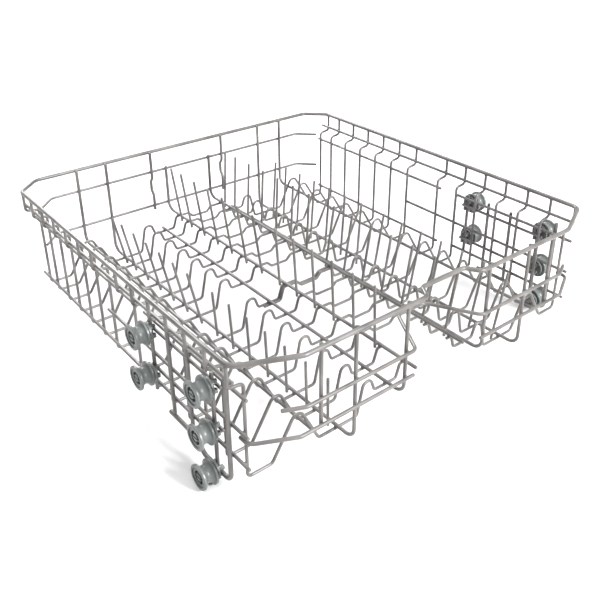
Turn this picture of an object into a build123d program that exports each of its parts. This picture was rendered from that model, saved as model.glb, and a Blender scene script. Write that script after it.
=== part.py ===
from build123d import *
import math
import os

# Upper basket of a dishwasher: a rack of coated steel wires welded at every crossing,
# which runs on plastic spool rollers clipped to both of its sides.
# Millimetres, +Z up, +X to the right, -Y towards the notched end. The origin lies at the
# height of the lowest rollers' treads, below the centre of the rim. Every size that ends
# in DROP is a depth below the centre line of the rim.

# Wire diameters, coating included
RIM_WIRE = 5.0
FRAME_WIRE = 4.0
SIDE_WIRE = 3.6
HOOP_WIRE = 3.4
TINE_WIRE = 3.2
BRACKET_WIRE = 4.8
WELD_GAP = 0.02
END_ROUND = 0.9
TINE_TIP_ROUND = 1.3

# Rim, between wire centres
RIM_WIDTH = 500.0
RIM_LENGTH = 521.0
BACK_CORNER_X = 28.0
BACK_CORNER_Y = 26.0
FRONT_CORNER_X = 60.0
FRONT_CORNER_Y = 27.0
RIM_BEND = 14.0
NOTCH_MOUTH = 80.0
NOTCH_FLOOR = 62.0
NOTCH_DEPTH = 16.0
NOTCH_BEND = 8.0

# Hoops: the cross wires that form both side walls and the floor
REAR_HOOPS = 6
FRONT_HOOPS = 7
CUT_HOOPS = 2
REAR_GROUP_Y = 33.5
FRONT_GROUP_Y = -25.0
HOOP_FROM_CORNER = 4.0
END_HOOP_PITCH = 26.5
WALL_INSET = 16.5
SHOULDER_DROP = 25.0
SHOULDER_FALL = 2.0
FLOOR_DROP = 134.0
FOOT_WIDTH = 28.0
ARCH_X = 174.4
ARCH_DROP = 83.2
FLOOR_OUT_X = 149.0
FLOOR_IN_X = 99.0
LOOP_X = 86.9
LOOP_DROP = 79.7
SHELF_OUT_X = 75.2
SHELF_IN_X = 45.0
SHELF_DROP = 112.0
PLATEAU_OUT_X = 39.5
PLATEAU_IN_X = 19.0
PLATEAU_DROP = 95.3
DIP_X = 12.0
DIP_DROP = 102.0
SHOULDER_BEND = 5.0
FOOT_BEND = 5.0
ARCH_FOOT_BEND = 6.0
ARCH_BEND = 7.9
LOOP_FOOT_BEND = 5.0
LOOP_BEND = 6.6
SHELF_BEND = 4.0
PLATEAU_BEND = 3.0
DIP_BEND = 4.0
CUT_END_PAST_ROW = 4.0

# Long wires on the floor
OUTER_ROW_X = 126.5
SHELF_WIRE_X = 60.0
INNER_ROW_X = 36.0
GUTTER_WELD_DROP = 102.4
FRAME_BEND = 12.0
FRAME_TOP_RISE = 1.0
GUTTER_FRONT_GAP = 14.5
SHELF_WIRE_BACK_GAP = 24.5
INNER_ROW_FRONT_GAP = 10.5

# Tines: height of the tips above their wire, lean of the tips, and offset from the hoops
LEFT_TINE_TAIL = 4.5
RIGHT_TINE_TAIL = 8.0
OUTER_LEFT_TINE = 64.5
INNER_LEFT_TINE = 77.5
INNER_RIGHT_TINE = 77.0
OUTER_RIGHT_TINE = 81.0
OUTER_LEFT_LEAN = 9.0
INNER_LEAN = 8.0
OUTER_RIGHT_LEAN = 10.0
OUTER_SPLAY = 10.0
INNER_SPLAY = 4.5
OUTER_LEFT_BEHIND = 14.3
OUTER_LEFT_AHEAD = 8.3
INNER_LEFT_BEHIND = 16.5
INNER_LEFT_AHEAD = 4.0
INNER_RIGHT_BEHIND = 8.5
INNER_RIGHT_AHEAD = 9.0
OUTER_RIGHT_BEHIND = 17.0
OUTER_RIGHT_AHEAD = 6.0

# Long wires on the side walls
UNDER_RIM_DROP = 19.0
UNDER_RIM_BACK_GAP = 17.5
WIRE_PAST_HOOP = 4.0
UPPER_SIDE_DROP = 39.5
LOWER_SIDE_DROP = 121.0
SIDE_BACK_PAST = 9.5

# Back wall
UPPER_BACK_DROP = 30.0
LOWER_BACK_DROP = 82.0
BACK_WIRE_STRAIGHT = 410.0
BACK_WIRE_TURN = 24.0
BACK_WIRE_BEND = 12.0
BACK_POST_X = 59.0
POST_PAST_WIRE = 5.0
BUMP_DROP = 51.0
BUMP_HEIGHT = 26.0
BUMP_OUT = 5.0
BUMP_BEND = 6.0

# Front wall
NOTCH_WIRE_DROP = 57.0
NOTCH_WIRE_MOUTH = 100.0
NOTCH_WIRE_FLOOR = 39.0
NOTCH_WIRE_DEPTH = 56.0
NOTCH_WIRE_STRAIGHT = 374.0
NOTCH_WIRE_END_X = 22.0
NOTCH_WIRE_END_Y = 10.0
NOTCH_WIRE_BEND = 9.0
LOW_FRONT_DROP = 87.0
LOW_FRONT_MOUTH = 101.0
LOW_FRONT_STRAIGHT = 390.0
LOW_FRONT_CORNER_Y = 21.0
LOW_FRONT_BEND = 10.0

# Rollers and the wires that carry them
REAR_AXLE_Y = -75.0
FRONT_AXLE_Y = -189.0
UPPER_AXLE_DROP = 49.5
MIDDLE_AXLE_DROP = 99.0
LOW_AXLE_DROP = 147.5
TOP_RAIL_DROP = 39.0
MID_RAIL_DROP = 81.0
LOW_RAIL_DROP = 117.0
RAIL_FRONT_PAST = 10.0
AXLE_RAIL_REAR_PAST = 6.0
AXLE_RAIL_FRONT_PAST = 9.0
POST_TOP_PAST = 4.0
POST_FOOT_PAST = 6.0
SECOND_POST_Y = -110.0
THIRD_POST_Y = -146.0
BRACKET_END_Y = -101.0
BRACKET_STEP_Y = -151.0
BRACKET_STEP = 15.0
BRACKET_TOE_DROP = 135.5
BRACKET_RISER_Y = -213.0
BRACKET_TOP_DROP = 25.0
BRACKET_BEND = 9.0

# Spool rollers and their axle clips
ROLLER_DIAMETER = 27.0
ROLLER_WAIST = 18.4
ROLLER_WIDTH = 15.5
ROLLER_FLANGE = 2.6
ROLLER_EDGE = 0.8
ROLLER_HUB = 13.0
ROLLER_WEB = 4.0
ROLLER_RECESS = 21.0
ROLLER_RIB = 2.0
ROLLER_RIB_SINK = 1.0
AXLE_DIAMETER = 8.0
AXLE_CLEARANCE = 0.05
ROLLER_END_PLAY = 0.3
PLATE_DIAMETER = 21.0
PLATE_THICKNESS = 2.2
PLATE_GAP = 0.6
PLATE_RIB = 1.4
PLATE_RIB_HEIGHT = 1.6
AXLE_BOSS = 1.2
AXLE_BOSS_DIAMETER = 12.0
SNAP_DIAMETER = 9.8
SNAP_TIP = 6.8
SNAP_LENGTH = 2.4
SNAP_SLIT = 1.6
SNAP_SLIT_LENGTH = 7.0
HUB_SINK = 3.5
JAW_GAP = 6.0
JAW_HEIGHT = 4.5
JAW_WALL = 2.4
JAW_LIP = 1.0
JAW_CLEARANCE = 0.05
JAW_MOUTH = 3.0

# Centre support beside the gap between the two groups of hoops
SUPPORT_OFFSET = 4.2
SUPPORT_LEFT_X = 70.0
SUPPORT_RIGHT_X = 43.0

# Levels and planes that follow from the sizes above
RIM_Z = LOW_AXLE_DROP + ROLLER_DIAMETER / 2
SIDE = RIM_WIDTH / 2
BACK = RIM_LENGTH / 2
FRONT = -RIM_LENGTH / 2


def touch(first_wire, second_wire):
    """Distance between the centres of two wires that are welded side by side."""
    return (first_wire + second_wire) / 2 + WELD_GAP


def spread(first, last, count):
    """Evenly spaced values from first to last."""
    step = (last - first) / (count - 1)
    return [first + step * index for index in range(count)]


WALL_X = SIDE - WALL_INSET
RAIL_X = WALL_X + touch(HOOP_WIRE, SIDE_WIRE)
POST_X = RAIL_X + touch(SIDE_WIRE, FRAME_WIRE)
BRACKET_X = RAIL_X + touch(SIDE_WIRE, BRACKET_WIRE)
BACK_FRAME_Y = BACK - touch(RIM_WIRE, FRAME_WIRE)
FRONT_FRAME_Y = FRONT + touch(RIM_WIRE, FRAME_WIRE)
BACK_WIRE_Y = BACK_FRAME_Y + touch(FRAME_WIRE, SIDE_WIRE)
FRONT_WIRE_Y = FRONT_FRAME_Y - touch(FRAME_WIRE, FRAME_WIRE)
OUTER_ROW_Z = RIM_Z - FLOOR_DROP + touch(HOOP_WIRE, FRAME_WIRE)
SHELF_WIRE_Z = RIM_Z - SHELF_DROP + touch(HOOP_WIRE, FRAME_WIRE)
INNER_ROW_Z = RIM_Z - PLATEAU_DROP + touch(HOOP_WIRE, FRAME_WIRE)
FRAME_TOP_Z = RIM_Z + FRAME_TOP_RISE
END_HOOP_Y = BACK - BACK_CORNER_Y - HOOP_FROM_CORNER
LAST_HOOP_Y = FRONT + FRONT_CORNER_Y + HOOP_FROM_CORNER
REAR_HOOP_YS = [END_HOOP_Y] + spread(END_HOOP_Y - END_HOOP_PITCH, REAR_GROUP_Y, REAR_HOOPS)
FRONT_HOOP_YS = spread(FRONT_GROUP_Y, LAST_HOOP_Y, FRONT_HOOPS)
PLATE_X = BRACKET_X + BRACKET_WIRE / 2 + PLATE_GAP
ROLLER_X = PLATE_X + PLATE_THICKNESS + AXLE_BOSS + ROLLER_END_PLAY


def wire_path(points, bends, closed=False):
    """Centre line of a bent wire: straight runs joined by tangent arcs."""
    if len(points) == 2:
        return Line(points[0], points[1])
    return FilletPolyline(*points, radius=bends, close=closed)


def bent_wire(points, bends, diameter, rounded=True, closed=False):
    """A round wire along its centre line, with its cut ends rounded by the coating."""
    path = wire_path(points, bends, closed)
    section = Plane(origin=path @ 0, z_dir=path % 0) * Circle(diameter / 2)
    wire = sweep(section, path=path)
    if rounded and not closed:
        ends = wire.faces().filter_by(GeomType.PLANE)
        wire = fillet(ends.edges(), END_ROUND)
    return wire


def straight_wire(start, end, diameter):
    """A straight wire with rounded ends."""
    return bent_wire([start, end], [], diameter)


def rim_wire():
    """The closed rim, with chamfered corners and a jog inwards at the notch."""
    corner_x = SIDE - FRONT_CORNER_X
    back_x = SIDE - BACK_CORNER_X
    right = [
        (NOTCH_FLOOR / 2, FRONT + NOTCH_DEPTH, RIM_Z),
        (NOTCH_MOUTH / 2, FRONT, RIM_Z),
        (corner_x, FRONT, RIM_Z),
        (SIDE, FRONT + FRONT_CORNER_Y, RIM_Z),
        (SIDE, BACK - BACK_CORNER_Y, RIM_Z),
        (back_x, BACK, RIM_Z),
    ]
    left = [(-x, y, z) for x, y, z in reversed(right)]
    bends = [NOTCH_BEND] * 2 + [RIM_BEND] * 8 + [NOTCH_BEND] * 2
    return bent_wire(right + left, bends, RIM_WIRE, closed=True)


def hoop_half():
    """Right half of a hoop, from the rim to the dip, as corner points and bend radii."""
    corners = [
        (SIDE, RIM_WIRE / 2 + WELD_GAP, None),
        (SIDE, SHOULDER_DROP, SHOULDER_BEND),
        (WALL_X, SHOULDER_DROP + SHOULDER_FALL, SHOULDER_BEND),
        (WALL_X, FLOOR_DROP, FOOT_BEND),
        (WALL_X - FOOT_WIDTH, FLOOR_DROP, ARCH_FOOT_BEND),
        (ARCH_X, ARCH_DROP, ARCH_BEND),
        (FLOOR_OUT_X, FLOOR_DROP, ARCH_FOOT_BEND),
        (FLOOR_IN_X, FLOOR_DROP, LOOP_FOOT_BEND),
        (LOOP_X, LOOP_DROP, LOOP_BEND),
        (SHELF_OUT_X, SHELF_DROP, SHELF_BEND),
        (SHELF_IN_X, SHELF_DROP, SHELF_BEND),
        (PLATEAU_OUT_X, PLATEAU_DROP, PLATEAU_BEND),
        (PLATEAU_IN_X, PLATEAU_DROP, DIP_BEND),
        (DIP_X, DIP_DROP, DIP_BEND),
    ]
    points = [(x, RIM_Z - drop) for x, drop, bend in corners]
    bends = [bend for x, drop, bend in corners]
    return points, bends


def hoop(y):
    """A whole hoop across the basket."""
    points, bends = hoop_half()
    right = [(x, y, z) for x, z in points]
    left = [(-x, y, z) for x, z in reversed(points)]
    radii = bends[1:] + bends[:0:-1]
    return bent_wire(right + left, radii, HOOP_WIRE, rounded=False)


def cut_hoop(y, side):
    """One half of a hoop that stops at the notch, just past the inner row wire."""
    points, bends = hoop_half()
    end_x = INNER_ROW_X - CUT_END_PAST_ROW
    kept = [(x, z) for x, z in points if x > PLATEAU_IN_X]
    kept.append((end_x, RIM_Z - PLATEAU_DROP))
    path = [(side * x, y, z) for x, z in kept]
    return bent_wire(path, bends[1:len(kept) - 1], HOOP_WIRE, rounded=False)


def centre_support():
    """Short second wire beside the first hoop of the front group."""
    points, bends = hoop_half()
    y = FRONT_GROUP_Y - SUPPORT_OFFSET
    inner = [(x, z) for x, z in points if x < SHELF_OUT_X]
    radii = bends[-len(inner):]
    left = [(-SUPPORT_LEFT_X, y, RIM_Z - SHELF_DROP)] + [(-x, y, z) for x, z in inner]
    plateau = [(x, y, z) for x, z in reversed(inner) if x < PLATEAU_OUT_X]
    end = [(SUPPORT_RIGHT_X - CUT_END_PAST_ROW, y, RIM_Z - PLATEAU_DROP)]
    bend_list = radii + list(reversed(radii))[:len(plateau)]
    return bent_wire(left + plateau + end, bend_list, HOOP_WIRE)


def under_rim_wire(side):
    """Long wire inside the hoop tops, just below the rim."""
    x = side * (SIDE - touch(HOOP_WIRE, SIDE_WIRE))
    z = RIM_Z - UNDER_RIM_DROP
    start = (x, BACK - UNDER_RIM_BACK_GAP, z)
    end = (x, LAST_HOOP_Y - WIRE_PAST_HOOP, z)
    return straight_wire(start, end, SIDE_WIRE)


def side_wires(side):
    """Upper and lower long wires outside the rear part of a side wall."""
    x = side * RAIL_X
    wires = []
    for drop in (UPPER_SIDE_DROP, LOWER_SIDE_DROP):
        start = (x, END_HOOP_Y + SIDE_BACK_PAST, RIM_Z - drop)
        end = (x, FRONT_GROUP_Y - WIRE_PAST_HOOP, RIM_Z - drop)
        wires.append(straight_wire(start, end, SIDE_WIRE))
    return wires


def roller_rails(side):
    """The long wires that tie the hoops together where the rollers are carried."""
    x = side * RAIL_X
    front_y = LAST_HOOP_Y - RAIL_FRONT_PAST
    second_hoop_y = FRONT_HOOP_YS[1]
    axle_rear = REAR_AXLE_Y + AXLE_RAIL_REAR_PAST
    axle_front = FRONT_AXLE_Y - AXLE_RAIL_FRONT_PAST
    runs = [
        (TOP_RAIL_DROP, second_hoop_y + WIRE_PAST_HOOP, front_y),
        (UPPER_AXLE_DROP, axle_rear, axle_front),
        (MID_RAIL_DROP, REAR_GROUP_Y + WIRE_PAST_HOOP, front_y),
        (MIDDLE_AXLE_DROP, axle_rear, axle_front),
        (LOW_RAIL_DROP, second_hoop_y + WIRE_PAST_HOOP, front_y),
    ]
    rails = []
    for drop, rear_y, end_y in runs:
        z = RIM_Z - drop
        rails.append(straight_wire((x, rear_y, z), (x, end_y, z), SIDE_WIRE))
    return rails


def roller_posts(side):
    """Upright wires outside the rails, two of which carry the axle clips."""
    x = side * POST_X
    top = RIM_Z - TOP_RAIL_DROP + POST_TOP_PAST
    toe_top = RIM_Z - BRACKET_TOE_DROP + BRACKET_WIRE / 2 + WELD_GAP
    low_top = RIM_Z - LOW_AXLE_DROP + BRACKET_WIRE / 2 + WELD_GAP
    feet = [
        (REAR_AXLE_Y, RIM_Z - LOW_RAIL_DROP - POST_FOOT_PAST),
        (SECOND_POST_Y, toe_top),
        (THIRD_POST_Y, toe_top),
        (FRONT_AXLE_Y, low_top),
    ]
    return [straight_wire((x, y, top), (x, y, foot), FRAME_WIRE) for y, foot in feet]


def roller_bracket(side):
    """Thick wire that drops below the floor to carry the lowest roller."""
    x = side * BRACKET_X
    toe_z = RIM_Z - BRACKET_TOE_DROP
    low_z = RIM_Z - LOW_AXLE_DROP
    points = [
        (x, BRACKET_END_Y, toe_z),
        (x, BRACKET_STEP_Y, toe_z),
        (x, BRACKET_STEP_Y - BRACKET_STEP, low_z),
        (x, BRACKET_RISER_Y, low_z),
        (x, BRACKET_RISER_Y, RIM_Z - BRACKET_TOP_DROP),
    ]
    return bent_wire(points, [BRACKET_BEND] * 3, BRACKET_WIRE)


def gutter_place():
    """Centre of the gutter wire, welded under the inner leg of the hoops' arch."""
    leg_x = FLOOR_OUT_X - ARCH_X
    leg_z = ARCH_DROP - FLOOR_DROP
    length = math.hypot(leg_x, leg_z)
    share = (GUTTER_WELD_DROP - ARCH_DROP) / (FLOOR_DROP - ARCH_DROP)
    gap = touch(HOOP_WIRE, FRAME_WIRE)
    x = ARCH_X + share * leg_x - gap * leg_z / length
    z = RIM_Z - GUTTER_WELD_DROP + gap * leg_x / length
    return x, z


def gutter_wire(side):
    """Long wire in the arch of the hoops, bent up to the back rim."""
    x, z = gutter_place()
    points = [
        (side * x, BACK_FRAME_Y, FRAME_TOP_Z),
        (side * x, BACK_FRAME_Y, z),
        (side * x, FRONT + GUTTER_FRONT_GAP, z),
    ]
    return bent_wire(points, [FRAME_BEND], FRAME_WIRE)


def outer_row_wire(side):
    """Long wire on the floor, bent up to the rim at both ends."""
    x = side * OUTER_ROW_X
    points = [
        (x, BACK_FRAME_Y, FRAME_TOP_Z),
        (x, BACK_FRAME_Y, OUTER_ROW_Z),
        (x, FRONT_FRAME_Y, OUTER_ROW_Z),
        (x, FRONT_FRAME_Y, FRAME_TOP_Z),
    ]
    return bent_wire(points, [FRAME_BEND] * 2, FRAME_WIRE)


def shelf_wire(side):
    """Long wire on the hoops' shelf, bent up to the front rim."""
    x = side * SHELF_WIRE_X
    points = [
        (x, BACK - SHELF_WIRE_BACK_GAP, SHELF_WIRE_Z),
        (x, FRONT_FRAME_Y, SHELF_WIRE_Z),
        (x, FRONT_FRAME_Y, FRAME_TOP_Z),
    ]
    return bent_wire(points, [FRAME_BEND], FRAME_WIRE)


def inner_row_wire(side):
    """Long wire on the hoops' plateau, bent up to the upper back wire."""
    x = side * INNER_ROW_X
    points = [
        (x, BACK_FRAME_Y, RIM_Z - UPPER_BACK_DROP + POST_PAST_WIRE),
        (x, BACK_FRAME_Y, INNER_ROW_Z),
        (x, FRONT + INNER_ROW_FRONT_GAP, INNER_ROW_Z),
    ]
    return bent_wire(points, [FRAME_BEND], FRAME_WIRE)


def tine_row(row_x, row_z, side, weld_side, tail_length, height, lean, splay, behind, ahead, front_ys):
    """Leaning rods welded to one side of a row wire, two groups that splay apart."""
    slope = lean / height
    offset = touch(FRAME_WIRE, TINE_WIRE) * math.hypot(1, slope)
    feet = [(y - behind, splay) for y in REAR_HOOP_YS]
    feet += [(y + ahead, -splay) for y in front_ys]
    share = tail_length / height
    tines = []
    for y, fan in feet:
        x = side * row_x + weld_side * offset
        tail = (x - side * lean * share, y - fan * share, row_z - tail_length)
        tip = (x + side * lean, y + fan, row_z + height)
        rod = bent_wire([tail, tip], [], TINE_WIRE, rounded=False)
        caps = rod.faces().filter_by(GeomType.PLANE).sort_by(Axis.Z)
        tines.append(fillet(caps[-1].edges(), TINE_TIP_ROUND))
    return tines


def back_wire(drop):
    """Cross wire outside the back uprights, its ends turned along the rim's corners."""
    z = RIM_Z - drop
    straight = BACK_WIRE_STRAIGHT / 2
    right = [(straight + BACK_WIRE_TURN, BACK_WIRE_Y - BACK_WIRE_TURN, z), (straight, BACK_WIRE_Y, z)]
    left = [(-x, y, z) for x, y, z in reversed(right)]
    return bent_wire(right + left, [BACK_WIRE_BEND] * 2, SIDE_WIRE)


def back_post(side):
    """Short upright from the rim to the lower back wire, with a bump for a clip-on handle."""
    x = side * BACK_POST_X
    bump_z = RIM_Z - BUMP_DROP
    half = BUMP_HEIGHT / 2
    points = [
        (x, BACK_FRAME_Y, FRAME_TOP_Z),
        (x, BACK_FRAME_Y, bump_z + half),
        (x, BACK_FRAME_Y + BUMP_OUT, bump_z + half / 2),
        (x, BACK_FRAME_Y + BUMP_OUT, bump_z - half / 2),
        (x, BACK_FRAME_Y, bump_z - half),
        (x, BACK_FRAME_Y, RIM_Z - LOWER_BACK_DROP - POST_PAST_WIRE),
    ]
    return bent_wire(points, [BUMP_BEND] * 4, FRAME_WIRE)


def notch_wire():
    """Front cross wire that dips into the basket to frame the notch."""
    z = RIM_Z - NOTCH_WIRE_DROP
    straight = NOTCH_WIRE_STRAIGHT / 2
    right = [
        (NOTCH_WIRE_FLOOR / 2, FRONT_WIRE_Y + NOTCH_WIRE_DEPTH, z),
        (NOTCH_WIRE_MOUTH / 2, FRONT_WIRE_Y, z),
        (straight, FRONT_WIRE_Y, z),
        (straight + NOTCH_WIRE_END_X, FRONT_WIRE_Y + NOTCH_WIRE_END_Y, z),
    ]
    left = [(-x, y, z) for x, y, z in reversed(right)]
    return bent_wire(left + right, [NOTCH_WIRE_BEND] * 6, FRAME_WIRE)


def low_front_wire(side):
    """Lower front wire from the notch round the corner to the last hoop."""
    z = RIM_Z - LOW_FRONT_DROP
    corner_x = WALL_X + touch(HOOP_WIRE, FRAME_WIRE)
    corner_y = FRONT_WIRE_Y + LOW_FRONT_CORNER_Y
    points = [
        (side * LOW_FRONT_MOUTH / 2, FRONT_WIRE_Y, z),
        (side * LOW_FRONT_STRAIGHT / 2, FRONT_WIRE_Y, z),
        (side * corner_x, corner_y, z),
        (side * corner_x, LAST_HOOP_Y + WIRE_PAST_HOOP, z),
    ]
    return bent_wire(points, [LOW_FRONT_BEND] * 2, FRAME_WIRE)


def front_post(side):
    """Upright from the front rim to the lower front wire, in line with the gutter wire."""
    x = side * gutter_place()[0]
    foot = RIM_Z - LOW_FRONT_DROP - POST_PAST_WIRE
    return straight_wire((x, FRONT_FRAME_Y, FRAME_TOP_Z), (x, FRONT_FRAME_Y, foot), FRAME_WIRE)


def along_x(radius, start, end):
    """A round bar along X between two distances from the clip plate."""
    return Plane((start, 0, 0), x_dir=(0, 1, 0), z_dir=(1, 0, 0)) * extrude(Circle(radius), end - start)


def place_at_side(shape, side, x, y, drop):
    """Move a shape made along +X to a side of the basket, facing outwards."""
    turned = shape if side > 0 else Rot(0, 0, 180) * shape
    return Pos(side * x, y, RIM_Z - drop) * turned


def roller():
    """Spool with a concave tread, a hub on a web and a cross of ribs in its open face."""
    rim = ROLLER_DIAMETER / 2
    waist = ROLLER_WAIST / 2
    far = ROLLER_WIDTH - ROLLER_FLANGE
    with BuildSketch(Plane.XY) as profile:
        with BuildLine():
            Polyline((0, 0), (0, rim), (ROLLER_FLANGE, rim))
            ThreePointArc((ROLLER_FLANGE, rim), (ROLLER_WIDTH / 2, waist), (far, rim))
            Polyline((far, rim), (ROLLER_WIDTH, rim), (ROLLER_WIDTH, 0), (0, 0))
        make_face()
    body = revolve(profile.sketch, axis=Axis.X)
    body = fillet(body.edges().filter_by(GeomType.CIRCLE).filter_by(lambda e: e.radius > waist), ROLLER_EDGE)
    hub = ROLLER_HUB / 2
    recess = along_x(ROLLER_RECESS / 2, ROLLER_WIDTH - ROLLER_RIB_SINK, ROLLER_WIDTH)
    pocket_depth = ROLLER_FLANGE + ROLLER_WEB
    pocket = along_x(waist - ROLLER_RIB, pocket_depth, ROLLER_WIDTH) - along_x(hub, 0, ROLLER_WIDTH)
    for angle in (0, 90):
        pocket -= Rot(angle, 0, 0) * Box(2 * ROLLER_WIDTH, ROLLER_RIB, ROLLER_DIAMETER)
    head_room = along_x(hub, ROLLER_WIDTH - HUB_SINK, ROLLER_WIDTH)
    bore = along_x(AXLE_DIAMETER / 2 + AXLE_CLEARANCE, 0, ROLLER_WIDTH)
    return body - recess - pocket - head_room - bore


def clip_jaws(wire, wire_x):
    """Two hooks that snap over an upright wire, above and below a crossing rail."""
    half = wire / 2 + JAW_CLEARANCE
    depth = PLATE_X - wire_x + half + JAW_LIP
    height = JAW_GAP + 2 * JAW_HEIGHT
    block = Pos(-depth / 2, 0, 0) * Box(depth, 2 * (half + JAW_WALL), height)
    block -= Pos(-depth / 2, 0, 0) * Box(depth, 2 * (half + JAW_WALL), JAW_GAP)
    block -= Pos(wire_x - PLATE_X, 0, 0) * Cylinder(half, height)
    block -= Pos(wire_x - PLATE_X - depth / 2, 0, 0) * Box(depth, JAW_MOUTH, height)
    return block


def axle_clip(wire, wire_x, turned=False):
    """Axle, ribbed plate and wire hooks, moulded in one piece."""
    jaws = clip_jaws(wire, wire_x)
    if turned:
        jaws = Rot(90, 0, 0) * jaws
    plate = along_x(PLATE_DIAMETER / 2, 0, PLATE_THICKNESS)
    rib_length = (PLATE_DIAMETER - AXLE_BOSS_DIAMETER) / 2
    rib_place = Pos(-PLATE_RIB_HEIGHT / 2, (AXLE_BOSS_DIAMETER + rib_length) / 2, 0)
    for angle in (45, 135, 225, 315):
        plate += Rot(angle, 0, 0) * rib_place * Box(PLATE_RIB_HEIGHT, rib_length, PLATE_RIB)
    boss_end = PLATE_THICKNESS + AXLE_BOSS
    head_start = boss_end + 2 * ROLLER_END_PLAY + ROLLER_WIDTH - HUB_SINK
    head_end = head_start + SNAP_LENGTH
    axle = along_x(AXLE_BOSS_DIAMETER / 2, 0, boss_end)
    axle += along_x(AXLE_DIAMETER / 2, 0, head_end)
    head = Cone(SNAP_DIAMETER / 2, SNAP_TIP / 2, SNAP_LENGTH)
    axle += Pos(head_start + SNAP_LENGTH / 2, 0, 0) * Rot(0, 90, 0) * head
    slit = Box(SNAP_SLIT_LENGTH, SNAP_DIAMETER, SNAP_SLIT)
    axle -= Pos(head_end - SNAP_SLIT_LENGTH / 2, 0, 0) * slit
    return plate + axle + jaws


def axle_places():
    """Name, Y and drop of each axle on one side."""
    return [
        ("rear_upper", REAR_AXLE_Y, UPPER_AXLE_DROP),
        ("rear_middle", REAR_AXLE_Y, MIDDLE_AXLE_DROP),
        ("front_upper", FRONT_AXLE_Y, UPPER_AXLE_DROP),
        ("front_middle", FRONT_AXLE_Y, MIDDLE_AXLE_DROP),
        ("front_low", FRONT_AXLE_Y, LOW_AXLE_DROP),
    ]


def basket():
    """All nodes of the basket, each a list of solids."""
    nodes = {"rim_wire": [rim_wire()]}
    whole = REAR_HOOP_YS + FRONT_HOOP_YS[:-CUT_HOOPS]
    for number, y in enumerate(whole, start=1):
        nodes[f"hoop_{number:02d}"] = [hoop(y)]
    for number, y in enumerate(FRONT_HOOP_YS[-CUT_HOOPS:], start=len(whole) + 1):
        nodes[f"hoop_{number:02d}"] = [cut_hoop(y, -1), cut_hoop(y, 1)]
    nodes["centre_support"] = [centre_support()]
    nodes["upper_back_wire"] = [back_wire(UPPER_BACK_DROP)]
    nodes["lower_back_wire"] = [back_wire(LOWER_BACK_DROP)]
    nodes["back_posts"] = [back_post(-1), back_post(1)]
    nodes["notch_wire"] = [notch_wire()]
    nodes["front_posts"] = [front_post(-1), front_post(1)]
    inner_left_ys = FRONT_HOOP_YS[:-1]
    nodes["outer_tines_left"] = tine_row(
        OUTER_ROW_X, OUTER_ROW_Z, -1, -1, LEFT_TINE_TAIL, OUTER_LEFT_TINE,
        OUTER_LEFT_LEAN, OUTER_SPLAY, OUTER_LEFT_BEHIND, OUTER_LEFT_AHEAD, FRONT_HOOP_YS)
    nodes["inner_tines_left"] = tine_row(
        INNER_ROW_X, INNER_ROW_Z, -1, -1, LEFT_TINE_TAIL, INNER_LEFT_TINE,
        INNER_LEAN, INNER_SPLAY, INNER_LEFT_BEHIND, INNER_LEFT_AHEAD, inner_left_ys)
    nodes["inner_tines_right"] = tine_row(
        INNER_ROW_X, INNER_ROW_Z, 1, 1, RIGHT_TINE_TAIL, INNER_RIGHT_TINE,
        INNER_LEAN, INNER_SPLAY, INNER_RIGHT_BEHIND, INNER_RIGHT_AHEAD, FRONT_HOOP_YS)
    nodes["outer_tines_right"] = tine_row(
        OUTER_ROW_X, OUTER_ROW_Z, 1, -1, RIGHT_TINE_TAIL, OUTER_RIGHT_TINE,
        OUTER_RIGHT_LEAN, INNER_SPLAY, OUTER_RIGHT_BEHIND, OUTER_RIGHT_AHEAD, FRONT_HOOP_YS)
    spool = roller()
    post_clip = axle_clip(FRAME_WIRE, POST_X)
    bracket_clip = axle_clip(BRACKET_WIRE, BRACKET_X, turned=True)
    for side, hand in ((-1, "left"), (1, "right")):
        nodes[f"under_rim_wire_{hand}"] = [under_rim_wire(side)]
        nodes[f"side_wires_{hand}"] = side_wires(side)
        nodes[f"gutter_wire_{hand}"] = [gutter_wire(side)]
        nodes[f"outer_row_wire_{hand}"] = [outer_row_wire(side)]
        nodes[f"shelf_wire_{hand}"] = [shelf_wire(side)]
        nodes[f"inner_row_wire_{hand}"] = [inner_row_wire(side)]
        nodes[f"low_front_wire_{hand}"] = [low_front_wire(side)]
        nodes[f"roller_rails_{hand}"] = roller_rails(side)
        nodes[f"roller_posts_{hand}"] = roller_posts(side)
        nodes[f"roller_bracket_{hand}"] = [roller_bracket(side)]
        clips = []
        for place, y, drop in axle_places():
            clip = bracket_clip if place == "front_low" else post_clip
            clips.append(place_at_side(clip, side, PLATE_X, y, drop))
            spool_here = place_at_side(spool, side, ROLLER_X, y, drop)
            nodes[f"roller_{place}_{hand}"] = [spool_here]
        nodes[f"axle_clips_{hand}"] = clips
    return nodes


def main():
    os.makedirs("parts", exist_ok=True)
    for name, solids in basket().items():
        shape = solids[0] if len(solids) == 1 else Compound(solids)
        export_step(shape, f"parts/{name}.step")


if __name__ == "__main__":
    main()
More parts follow.
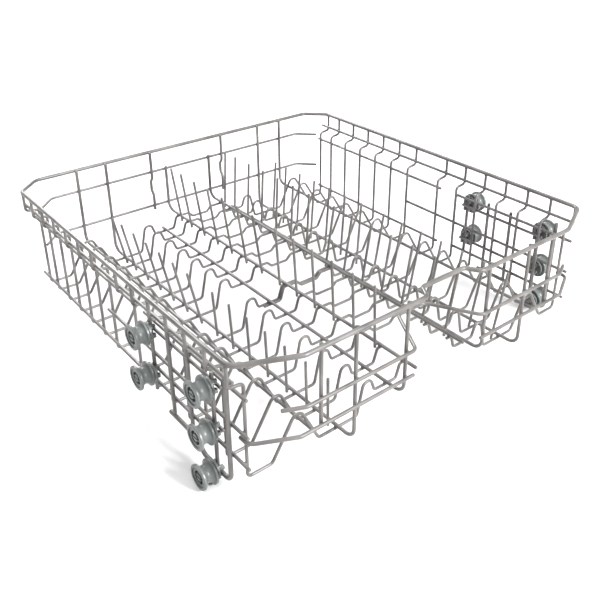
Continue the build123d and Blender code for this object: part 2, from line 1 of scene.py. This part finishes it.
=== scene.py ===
import bmesh
import bpy
import math
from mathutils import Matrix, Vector


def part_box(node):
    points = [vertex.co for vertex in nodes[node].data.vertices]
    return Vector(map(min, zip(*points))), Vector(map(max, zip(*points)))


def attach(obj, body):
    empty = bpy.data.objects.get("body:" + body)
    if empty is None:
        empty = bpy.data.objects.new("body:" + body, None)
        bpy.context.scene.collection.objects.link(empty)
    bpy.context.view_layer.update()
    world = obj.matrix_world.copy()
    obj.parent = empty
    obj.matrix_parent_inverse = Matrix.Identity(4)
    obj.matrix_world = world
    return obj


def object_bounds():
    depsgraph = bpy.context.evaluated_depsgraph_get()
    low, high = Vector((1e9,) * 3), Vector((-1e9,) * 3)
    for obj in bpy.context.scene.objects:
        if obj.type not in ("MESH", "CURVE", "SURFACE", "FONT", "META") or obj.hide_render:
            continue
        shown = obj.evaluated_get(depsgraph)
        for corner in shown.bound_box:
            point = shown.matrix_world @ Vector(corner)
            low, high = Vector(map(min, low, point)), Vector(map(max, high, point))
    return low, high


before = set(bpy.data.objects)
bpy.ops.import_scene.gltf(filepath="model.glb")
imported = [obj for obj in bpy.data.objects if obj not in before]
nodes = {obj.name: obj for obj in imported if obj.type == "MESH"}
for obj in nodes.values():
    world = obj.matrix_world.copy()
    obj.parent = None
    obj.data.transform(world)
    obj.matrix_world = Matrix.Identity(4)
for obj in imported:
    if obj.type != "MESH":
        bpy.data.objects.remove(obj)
cad_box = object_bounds()

# The wire frame: the rim, the hoops, every long wire, the posts and the tines.
# They are drawn steel wire, cut, bent and spot welded into one rack.
# The finished rack is dipped in a grey nylon coating with a satin skin.
COATING_PALE = (0.135, 0.127, 0.122, 1)
COATING_DEEP = (0.064, 0.060, 0.057, 1)
COATING_DEEP_TO = 0.32
COATING_PALE_FROM = 0.68
COATING_PATCH_SCALE = 38
COATING_PATCH_DETAIL = 5
COATING_GRAIN_SCALE = 900
COATING_GRAIN_HEIGHT = 0.00006  # metres, as every length here
COATING_GRAIN_STRENGTH = 0.35
COATING_ROUGHNESS_LOW = 0.30
COATING_ROUGHNESS_HIGH = 0.44
COATING_SKIN = 0.22
COATING_SKIN_ROUGHNESS = 0.16
ROLLER_NAMES = ("roller_rear", "roller_front")
PLASTIC_NAMES = ROLLER_NAMES + ("axle_clips",)


def satin_coating():
    """Nylon dip coat: faint cloudy patches, fine orange peel and a glossy skin."""
    finish = bpy.data.materials.new("satin_wire_coating")
    finish.use_nodes = True
    tree = finish.node_tree
    shader = tree.nodes["Principled BSDF"]
    shader.inputs["Coat Weight"].default_value = COATING_SKIN
    shader.inputs["Coat Roughness"].default_value = COATING_SKIN_ROUGHNESS
    place = tree.nodes.new("ShaderNodeTexCoord")
    patches = tree.nodes.new("ShaderNodeTexNoise")
    patches.inputs["Scale"].default_value = COATING_PATCH_SCALE
    patches.inputs["Detail"].default_value = COATING_PATCH_DETAIL
    tint = tree.nodes.new("ShaderNodeValToRGB")
    tint.color_ramp.elements[0].position = COATING_DEEP_TO
    tint.color_ramp.elements[0].color = COATING_DEEP
    tint.color_ramp.elements[1].position = COATING_PALE_FROM
    tint.color_ramp.elements[1].color = COATING_PALE
    roughness = tree.nodes.new("ShaderNodeMapRange")
    roughness.inputs["To Min"].default_value = COATING_ROUGHNESS_LOW
    roughness.inputs["To Max"].default_value = COATING_ROUGHNESS_HIGH
    grain = tree.nodes.new("ShaderNodeTexNoise")
    grain.inputs["Scale"].default_value = COATING_GRAIN_SCALE
    skin = tree.nodes.new("ShaderNodeBump")
    skin.inputs["Strength"].default_value = COATING_GRAIN_STRENGTH
    skin.inputs["Distance"].default_value = COATING_GRAIN_HEIGHT
    tree.links.new(place.outputs["Object"], patches.inputs["Vector"])
    tree.links.new(place.outputs["Object"], grain.inputs["Vector"])
    tree.links.new(patches.outputs["Fac"], tint.inputs["Fac"])
    tree.links.new(patches.outputs["Fac"], roughness.inputs["Value"])
    tree.links.new(tint.outputs["Color"], shader.inputs["Base Color"])
    tree.links.new(roughness.outputs["Result"], shader.inputs["Roughness"])
    tree.links.new(grain.outputs["Fac"], skin.inputs["Height"])
    tree.links.new(skin.outputs["Normal"], shader.inputs["Normal"])
    return finish


def dress(piece, finish):
    """Give a piece one finish on every face."""
    piece.data.materials.clear()
    piece.data.materials.append(finish)


wire_coating = satin_coating()
for name, wire in nodes.items():
    if not name.startswith(PLASTIC_NAMES):
        dress(wire, wire_coating)

# The weld fillets: where two wires cross, the weld and the dip coat fill the corner.
# Each is a small flat bead of coating between the two wires, lying across their contact.
# One is made and copied to the main crossings, and all are joined as one piece of the rack.
BEAD_SEGMENTS = 10
BEAD_RINGS = 6
BEAD_RADIUS = 0.0023
BEAD_THICKNESS = 0.0013
RIM_RADIUS = 0.0025
SIDE_RADIUS = 0.0018
TINE_RADIUS = 0.0016
MERGE_DISTANCE = 0.000001
MIDDLE_RAIL_DROP = 0.081
FIRST_RAIL_HOOP = "hoop_09"
ACROSS_X = Vector((1, 0, 0))
ACROSS_Y = Vector((0, 1, 0))
ACROSS_Z = Vector((0, 0, 1))


def middle(name, axis):
    """Middle of a node's box along one axis."""
    low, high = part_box(name)
    return (low[axis] + high[axis]) / 2


def tine_roots(tines, level):
    """Where each rod of a tine row passes the level of its wire."""
    mesh = bmesh.new()
    mesh.from_mesh(nodes[tines].data)
    bmesh.ops.remove_doubles(mesh, verts=mesh.verts, dist=MERGE_DISTANCE)
    for corner in mesh.verts:
        corner.tag = False
    roots = []
    for start in mesh.verts:
        if start.tag:
            continue
        start.tag = True
        rod = [start]
        for corner in rod:  # the rod grows as its neighbours are found
            near = [edge.other_vert(corner) for edge in corner.link_edges]
            fresh = [v for v in near if not v.tag]
            for v in fresh:
                v.tag = True
            rod.extend(fresh)
        low = min(v.co.z for v in rod)
        high = max(v.co.z for v in rod)
        foot = [v.co for v in rod if v.co.z < low + TINE_RADIUS]
        tip = [v.co for v in rod if v.co.z > high - TINE_RADIUS]
        foot_middle = sum(foot, Vector()) / len(foot)
        tip_middle = sum(tip, Vector()) / len(tip)
        share = (level - foot_middle.z) / (tip_middle.z - foot_middle.z)
        roots.append(foot_middle.lerp(tip_middle, share))
    mesh.free()
    return roots


crossings = []


def weld(x, y, z, across):
    """Note where two wires touch, and the way from one to the other."""
    crossings.append((Vector((x, y, z)), across))


# Every hoop, against the rim and the long wires of both sides.
rim_low, rim_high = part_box("rim_wire")
rim_z = (rim_low[2] + rim_high[2]) / 2
for hoop in sorted(name for name in nodes if name.startswith("hoop_")):
    hoop_y = middle(hoop, 1)
    for side, hand in ((-1, "left"), (1, "right")):
        weld(side * (rim_high[0] - RIM_RADIUS), hoop_y, rim_low[2], ACROSS_Z)
        for row in ("outer_row_wire", "shelf_wire", "inner_row_wire"):
            low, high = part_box(f"{row}_{hand}")
            if low[1] < hoop_y < high[1]:
                weld(middle(f"{row}_{hand}", 0), hoop_y, low[2], ACROSS_Z)
        low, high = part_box(f"under_rim_wire_{hand}")
        outer = low[0] if side < 0 else high[0]
        weld(outer, hoop_y, (low[2] + high[2]) / 2, ACROSS_X)
        low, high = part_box(f"side_wires_{hand}")
        inner = high[0] if side < 0 else low[0]
        if low[1] < hoop_y < high[1]:
            for level in (low[2] + SIDE_RADIUS, high[2] - SIDE_RADIUS):
                weld(inner, hoop_y, level, ACROSS_X)
        low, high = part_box(f"roller_rails_{hand}")
        inner = high[0] if side < 0 else low[0]
        if hoop >= FIRST_RAIL_HOOP:
            for level in (low[2] + SIDE_RADIUS, high[2] - SIDE_RADIUS, rim_z - MIDDLE_RAIL_DROP):
                weld(inner, hoop_y, level, ACROSS_X)

# Every tine, against the row wire that carries it.
for row, tines in (("outer_row_wire", "outer_tines"), ("inner_row_wire", "inner_tines")):
    for hand in ("left", "right"):
        low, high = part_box(f"{row}_{hand}")
        wire_z = low[2] + (high[0] - low[0]) / 2
        for root in tine_roots(f"{tines}_{hand}", wire_z):
            welded = low[0] if root.x < middle(f"{row}_{hand}", 0) else high[0]
            weld(welded, root.y, wire_z, ACROSS_X)

# The upturned ends of the long wires, against the back wall and the front wall.
for hand in ("left", "right"):
    for upright in ("outer_row_wire", "gutter_wire", "inner_row_wire"):
        upright_x = middle(f"{upright}_{hand}", 0)
        back_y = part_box(f"{upright}_{hand}")[1][1]
        for back in ("upper_back_wire", "lower_back_wire"):
            weld(upright_x, back_y, middle(back, 2), ACROSS_Y)
        if upright != "inner_row_wire":
            weld(upright_x, back_y, rim_z, ACROSS_Y)
    for upright in ("outer_row_wire", "shelf_wire"):
        upright_x = middle(f"{upright}_{hand}", 0)
        front_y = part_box(f"{upright}_{hand}")[0][1]
        for level in (rim_z, middle("notch_wire", 2), middle(f"low_front_wire_{hand}", 2)):
            weld(upright_x, front_y, level, ACROSS_Y)

bpy.ops.object.select_all(action="DESELECT")
bpy.ops.mesh.primitive_uv_sphere_add(segments=BEAD_SEGMENTS, ring_count=BEAD_RINGS, radius=BEAD_RADIUS)
bead = bpy.context.object
bead.name = "weld_fillets"
bpy.ops.object.mode_set(mode="EDIT")
bpy.ops.mesh.select_all(action="SELECT")
bpy.ops.transform.resize(value=(1, 1, BEAD_THICKNESS / BEAD_RADIUS))
bpy.ops.object.mode_set(mode="OBJECT")
bpy.ops.object.shade_smooth()
fillets = [bead]
while len(fillets) < len(crossings):
    fillet = bead.copy()
    fillet.data = bead.data.copy()
    bpy.context.collection.objects.link(fillet)
    fillets.append(fillet)
bpy.ops.object.select_all(action="DESELECT")
for fillet, (place, across) in zip(fillets, crossings):
    fillet.location = place
    fillet.rotation_euler = across.to_track_quat("Z", "Y").to_euler()
    fillet.select_set(True)
bpy.context.view_layer.objects.active = bead
bpy.ops.object.join()
bpy.ops.object.transform_apply(location=True, rotation=True, scale=True)
dress(bead, wire_coating)
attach(bead, "basket")

# The rollers: spools that run on the machine's slide rails, moulded in one piece.
# They are a grey-green plastic, a little translucent, with a concave tread.
# Each turns on the axle of its clip and is held by the axle's split head.
ROLLER_PALE = (0.138, 0.150, 0.146, 1)
ROLLER_DEEP = (0.088, 0.097, 0.094, 1)
ROLLER_ROUGHNESS = 0.36
ROLLER_DRIFT_SCALE = 90
ROLLER_GLOW = 0.12
GLOW_RADIUS = (0.003, 0.003, 0.0025)
GLOW_SCALE = 0.4
DRIFT_DETAIL = 4
DRIFT_DEEP_TO = 0.3
DRIFT_PALE_FROM = 0.7
SPECKLE_SCALE = 2200
SPECKLE_STRENGTH = 0.3
SPECKLE_HEIGHT = 0.00004


def speckled_finish(name, pale, deep, roughness, drift_scale, glow=0):
    """Moulded plastic or matt paint: soft colour drift, a fine speckle and some translucence."""
    finish = bpy.data.materials.new(name)
    finish.use_nodes = True
    tree = finish.node_tree
    shader = tree.nodes["Principled BSDF"]
    shader.inputs["Roughness"].default_value = roughness
    shader.inputs["Subsurface Weight"].default_value = glow
    shader.inputs["Subsurface Radius"].default_value = GLOW_RADIUS
    shader.inputs["Subsurface Scale"].default_value = GLOW_SCALE
    place = tree.nodes.new("ShaderNodeTexCoord")
    drift = tree.nodes.new("ShaderNodeTexNoise")
    drift.inputs["Scale"].default_value = drift_scale
    drift.inputs["Detail"].default_value = DRIFT_DETAIL
    tint = tree.nodes.new("ShaderNodeValToRGB")
    tint.color_ramp.elements[0].position = DRIFT_DEEP_TO
    tint.color_ramp.elements[0].color = deep
    tint.color_ramp.elements[1].position = DRIFT_PALE_FROM
    tint.color_ramp.elements[1].color = pale
    speckle = tree.nodes.new("ShaderNodeTexNoise")
    speckle.inputs["Scale"].default_value = SPECKLE_SCALE
    skin = tree.nodes.new("ShaderNodeBump")
    skin.inputs["Strength"].default_value = SPECKLE_STRENGTH
    skin.inputs["Distance"].default_value = SPECKLE_HEIGHT
    tree.links.new(place.outputs["Object"], drift.inputs["Vector"])
    tree.links.new(place.outputs["Object"], speckle.inputs["Vector"])
    tree.links.new(drift.outputs["Fac"], tint.inputs["Fac"])
    tree.links.new(tint.outputs["Color"], shader.inputs["Base Color"])
    tree.links.new(speckle.outputs["Fac"], skin.inputs["Height"])
    tree.links.new(skin.outputs["Normal"], shader.inputs["Normal"])
    return finish


roller_plastic = speckled_finish(
    "grey_roller_plastic", ROLLER_PALE, ROLLER_DEEP, ROLLER_ROUGHNESS, ROLLER_DRIFT_SCALE, ROLLER_GLOW)
for name, roller in nodes.items():
    if name.startswith(ROLLER_NAMES):
        dress(roller, roller_plastic)

# The axle clips: each is an axle, a ribbed plate and two hooks, moulded in one piece.
# They are a slightly darker grey plastic than the rollers.
# The hooks snap over an upright wire, or over the low bracket wire.
CLIP_PALE = (0.128, 0.137, 0.133, 1)
CLIP_DEEP = (0.072, 0.078, 0.076, 1)
CLIP_ROUGHNESS = 0.42
CLIP_DRIFT_SCALE = 120
clip_plastic = speckled_finish("grey_clip_plastic", CLIP_PALE, CLIP_DEEP, CLIP_ROUGHNESS, CLIP_DRIFT_SCALE)
for name, clip in nodes.items():
    if name.startswith("axle_clips"):
        dress(clip, clip_plastic)

# The floor: a plain pale sheet that carries the basket and fades into the backdrop.
# It is matt painted board, one flat piece, far larger than the view, at the lowest tread.
FLOOR_SIZE = 40
FLOOR_PAINT = (0.66, 0.66, 0.66, 1)
FLOOR_SHADE = (0.64, 0.64, 0.64, 1)
FLOOR_ROUGHNESS = 0.9
FLOOR_DRIFT_SCALE = 0.6
bpy.ops.object.select_all(action="DESELECT")
bpy.ops.mesh.primitive_plane_add(size=FLOOR_SIZE, location=(0, 0, cad_box[0][2]))
floor = bpy.context.object
floor.name = "floor"
floor_paint = speckled_finish("matt_floor", FLOOR_PAINT, FLOOR_SHADE, FLOOR_ROUGHNESS, FLOOR_DRIFT_SCALE)
dress(floor, floor_paint)

# The studio light: two soft boxes and a surround that is brightest overhead.
# The key stands over the notched end, the fill over the far side.
# The surround has a dim band above the horizon, so the round wires keep a dark side.
SURROUND_TOP = (1.0, 1.0, 1.0, 1)
SURROUND_EDGE = (0.46, 0.46, 0.46, 1)
SURROUND_DIM = (0.19, 0.19, 0.19, 1)
EDGE_TO = 0.12
DIM_AT = 0.28
SURROUND_STRENGTH = 2.25
SOFT_BOXES = (  # name, place, width and watts
    ("key", (0.5, -1.9, 1.1), 0.5, 85),
    ("fill", (0.3, 1.8, 1.4), 0.7, 50),
)
world = bpy.data.worlds.new("bright_surround")
world.use_nodes = True
sky = world.node_tree
direction = sky.nodes.new("ShaderNodeTexCoord")
height = sky.nodes.new("ShaderNodeSeparateXYZ")
falloff = sky.nodes.new("ShaderNodeValToRGB")
falloff.color_ramp.elements[0].position = EDGE_TO
falloff.color_ramp.elements[0].color = SURROUND_EDGE
falloff.color_ramp.elements.new(DIM_AT).color = SURROUND_DIM
falloff.color_ramp.elements[-1].color = SURROUND_TOP
sky.links.new(direction.outputs["Generated"], height.inputs["Vector"])
sky.links.new(height.outputs["Z"], falloff.inputs["Fac"])
sky.links.new(falloff.outputs["Color"], sky.nodes["Background"].inputs["Color"])
sky.nodes["Background"].inputs["Strength"].default_value = SURROUND_STRENGTH
bpy.context.scene.world = world
for name, place, width, watts in SOFT_BOXES:
    bpy.ops.object.light_add(type="AREA", location=place)
    lamp = bpy.context.object
    lamp.name = name
    lamp.data.size = width
    lamp.data.energy = watts
    aim = Vector((0, 0, rim_z / 2)) - Vector(place)
    lamp.rotation_euler = aim.to_track_quat("-Z", "Y").to_euler()

# The camera: the photograph's own view, from above the near left corner of the notched end.
# Its place, its tilt and its lens follow the straight wires of the rim.
CAMERA_FROM_RIM = (-0.5211, -0.6791, 0.3826)
CAMERA_DOWN = 26.60  # degrees below level
CAMERA_RIGHT = 39.12  # degrees to the right of +Y
CAMERA_LENS = 45.91  # millimetres
CAMERA_SHIFT = (-0.0226, -0.1109)  # share of the picture's width
CAMERA_REACH = 100
bpy.ops.object.camera_add()
camera = bpy.context.object
camera.location = Vector(CAMERA_FROM_RIM) + Vector((0, 0, rim_z))
camera.rotation_euler = (math.radians(90 - CAMERA_DOWN), 0, math.radians(-CAMERA_RIGHT))
camera.data.lens = CAMERA_LENS
camera.data.shift_x, camera.data.shift_y = CAMERA_SHIFT
camera.data.clip_end = CAMERA_REACH
bpy.context.scene.camera = camera
bpy.context.scene.view_settings.view_transform = "Standard"
